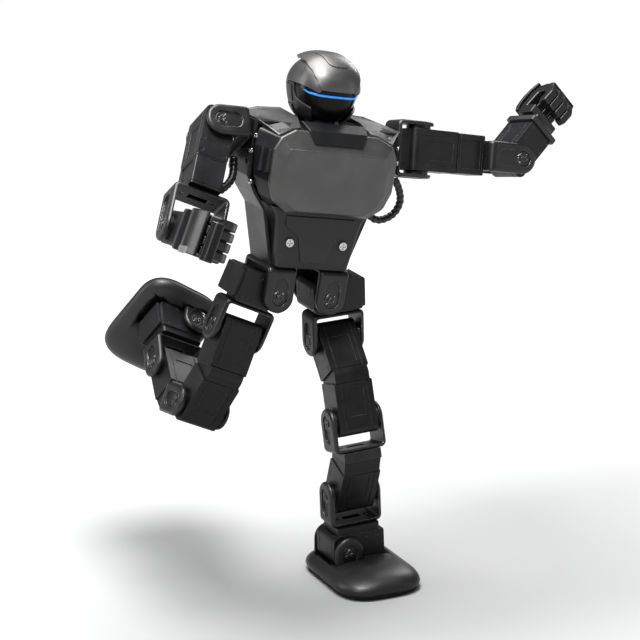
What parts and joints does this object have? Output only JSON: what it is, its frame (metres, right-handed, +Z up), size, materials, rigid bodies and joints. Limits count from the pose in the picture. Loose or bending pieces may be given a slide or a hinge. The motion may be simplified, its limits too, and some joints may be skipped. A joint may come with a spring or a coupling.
{
  "type": "humanoid robot kit",
  "caption": "Humanoid robot kit on one leg: servo joints and U-brackets in both arms and legs, shelled torso, helmet head with a lit visor strip.",
  "frame": {"origin": "middle of the box around the standing robot, on the floor", "axes": "+Z up, the robot faces -Y, its left side is +X"},
  "size_m": [0.329, 0.2468, 0.3474],
  "materials": {
    "gunmetal": "satin metallic paint",
    "pale_grey": "satin",
    "bracket_grey": "satin anodised",
    "servo_black": "fine matte grain",
    "charcoal": "matte",
    "visor_black": "polished",
    "light_blue": "lit",
    "bright_screw": "bright",
    "sole_rubber": "matte",
    "cable_black": "satin spiral wrap",
    "battery_wrap": "heat-shrink sleeve",
    "circuit_board": "solder mask"
  },
  "bodies": {
    "torso": {"chest_shell": "gunmetal", "back_shell": "gunmetal", "torso_frame": "servo_black", "waist_cover": "gunmetal", "waist_insert": "charcoal", "waist_screws": "bright_screw", "shoulder_covers": "pale_grey", "hip_roll_brackets": "bracket_grey", "shoulder_servos": "servo_black", "neck_servo": "servo_black", "battery_pack": "battery_wrap", "control_board": "circuit_board", "l_cable": "cable_black"},
    "head": {"helmet": "gunmetal", "visor": "visor_black", "light_strip": "light_blue", "jaw_guard": "charcoal"},
    "power_button": {"power_button": "charcoal"},
    "l_shoulder": {"l_shoulder_bracket": "bracket_grey"},
    "l_upper_arm": {"l_arm_servo": "servo_black", "l_arm_spacer": "servo_black", "l_elbow_bracket": "bracket_grey"},
    "l_forearm": {"l_forearm_servo": "servo_black", "l_hand_shell": "charcoal", "l_fingers": "charcoal"},
    "l_hip": {"l_hip_servo": "servo_black", "l_hip_pitch_bracket": "bracket_grey"},
    "l_thigh": {"l_thigh_servo": "servo_black", "l_thigh_spacer": "servo_black", "l_knee_servo": "servo_black"},
    "l_shin": {"l_knee_bracket": "bracket_grey", "l_shin_spacer": "pale_grey", "l_shin_servo": "servo_black"},
    "l_ankle": {"l_ankle_bracket": "bracket_grey", "l_ankle_servo": "servo_black"},
    "l_foot": {"l_foot_bracket": "bracket_grey", "l_foot_shell": "gunmetal", "l_foot_sole": "sole_rubber"},
    "r_shoulder": {"r_shoulder_bracket": "bracket_grey", "r_cable": "cable_black"},
    "r_upper_arm": {"r_arm_servo": "servo_black", "r_arm_spacer": "servo_black", "r_elbow_bracket": "bracket_grey"},
    "r_forearm": {"r_forearm_servo": "servo_black", "r_hand_shell": "charcoal", "r_fingers": "charcoal"},
    "r_hip": {"r_hip_servo": "servo_black", "r_hip_pitch_bracket": "bracket_grey"},
    "r_thigh": {"r_thigh_servo": "servo_black", "r_thigh_spacer": "servo_black", "r_knee_servo": "servo_black"},
    "r_shin": {"r_knee_bracket": "bracket_grey", "r_shin_spacer": "pale_grey", "r_shin_servo": "servo_black"},
    "r_ankle": {"r_ankle_bracket": "bracket_grey", "r_ankle_servo": "servo_black"},
    "r_foot": {"r_foot_bracket": "bracket_grey", "r_foot_shell": "gunmetal", "r_foot_sole": "sole_rubber"}
  },
  "joints": [
    {"name": "neck_yaw", "type": "hinge", "parent": "torso", "child": "head", "pos_m": [-0.03692, -0.01731, 0.30057], "axis": [0.153, -0.0427, 0.9873], "range_deg": [-70, 70]},
    {"name": "l_hip_roll", "type": "hinge", "parent": "torso", "child": "l_hip", "pos_m": [-0.03544, -0.01449, 0.18986], "axis": [0.0021, -0.999, -0.0436], "range_deg": [-9, 16.5]},
    {"name": "l_hip_pitch", "type": "hinge", "parent": "l_hip", "child": "l_thigh", "pos_m": [-0.02395, -0.01309, 0.1584], "axis": [-0.9989, 0, -0.0471], "range_deg": [-60, 45]},
    {"name": "l_knee", "type": "hinge", "parent": "l_thigh", "child": "l_shin", "pos_m": [-0.0216, -0.03688, 0.10857], "axis": [0.9989, 0, 0.0471], "range_deg": [-2, 93]},
    {"name": "l_ankle_pitch", "type": "hinge", "parent": "l_shin", "child": "l_ankle", "pos_m": [-0.01909, -0.02911, 0.05543], "axis": [0.9989, 0, 0.0471], "range_deg": [-20.5, 74.5]},
    {"name": "l_ankle_roll", "type": "hinge", "parent": "l_ankle", "child": "l_foot", "pos_m": [-0.02743, -0.02911, 0.02], "axis": [0, 1, 0], "range_deg": [-13.7, 17.3]},
    {"name": "l_shoulder_pitch", "type": "hinge", "parent": "torso", "child": "l_shoulder", "pos_m": [0.01398, -0.01844, 0.28281], "axis": [-0.9882, -0.0087, 0.1528], "range_deg": [-117, 63], "deforming": ["l_cable"]},
    {"name": "l_shoulder_roll", "type": "hinge", "parent": "l_shoulder", "child": "l_upper_arm", "pos_m": [0.03374, -0.01826, 0.27975], "axis": [0.1493, 0.1659, 0.9748], "range_deg": [-92, 0]},
    {"name": "l_elbow", "type": "hinge", "parent": "l_upper_arm", "child": "l_forearm", "pos_m": [0.10602, -0.01257, 0.26772], "axis": [0.1027, -0.9831, 0.1516], "range_deg": [-50, 45]},
    {"name": "r_hip_roll", "type": "hinge", "parent": "torso", "child": "r_hip", "pos_m": [-0.07181, -0.01481, 0.19548], "axis": [-0.0021, 0.999, 0.0436], "range_deg": [-13.5, 12]},
    {"name": "r_hip_pitch", "type": "hinge", "parent": "r_hip", "child": "r_thigh", "pos_m": [-0.09431, -0.01377, 0.17065], "axis": [-0.9078, -0.0201, 0.419], "range_deg": [-28, 77]},
    {"name": "r_knee", "type": "hinge", "parent": "r_thigh", "child": "r_shin", "pos_m": [-0.11745, -0.00778, 0.12082], "axis": [0.9078, 0.0201, -0.419], "range_deg": [-65, 30]},
    {"name": "r_ankle_pitch", "type": "hinge", "parent": "r_shin", "child": "r_ankle", "pos_m": [-0.11332, 0.04458, 0.13227], "axis": [0.9078, 0.0201, -0.419], "range_deg": [-52, 43]},
    {"name": "r_ankle_roll", "type": "hinge", "parent": "r_ankle", "child": "r_foot", "pos_m": [-0.0961, 0.07302, 0.14709], "axis": [-0.3489, 0.5907, -0.7275], "range_deg": [-20.5, 10.5]},
    {"name": "r_shoulder_pitch", "type": "hinge", "parent": "torso", "child": "r_shoulder", "pos_m": [-0.09078, -0.01936, 0.29901], "axis": [-0.9882, -0.0087, 0.1528], "range_deg": [-50, 130]},
    {"name": "r_shoulder_roll", "type": "hinge", "parent": "r_shoulder", "child": "r_upper_arm", "pos_m": [-0.11054, -0.01953, 0.30206], "axis": [-0.0895, 0.8429, -0.5306], "range_deg": [-15, 77], "deforming": ["r_cable"]},
    {"name": "r_elbow", "type": "hinge", "parent": "r_upper_arm", "child": "r_forearm", "pos_m": [-0.1405, -0.05754, 0.24674], "axis": [-0.9087, 0.149, 0.3899], "range_deg": [-64, 31]},
    {"name": "power_button_press", "type": "slide", "parent": "torso", "child": "power_button", "axis": [0.0021, -0.999, -0.0436], "range_m": [0, 0.0008], "stiffness_N_per_m": 1500, "springref_m": -0.0002}
  ]
}
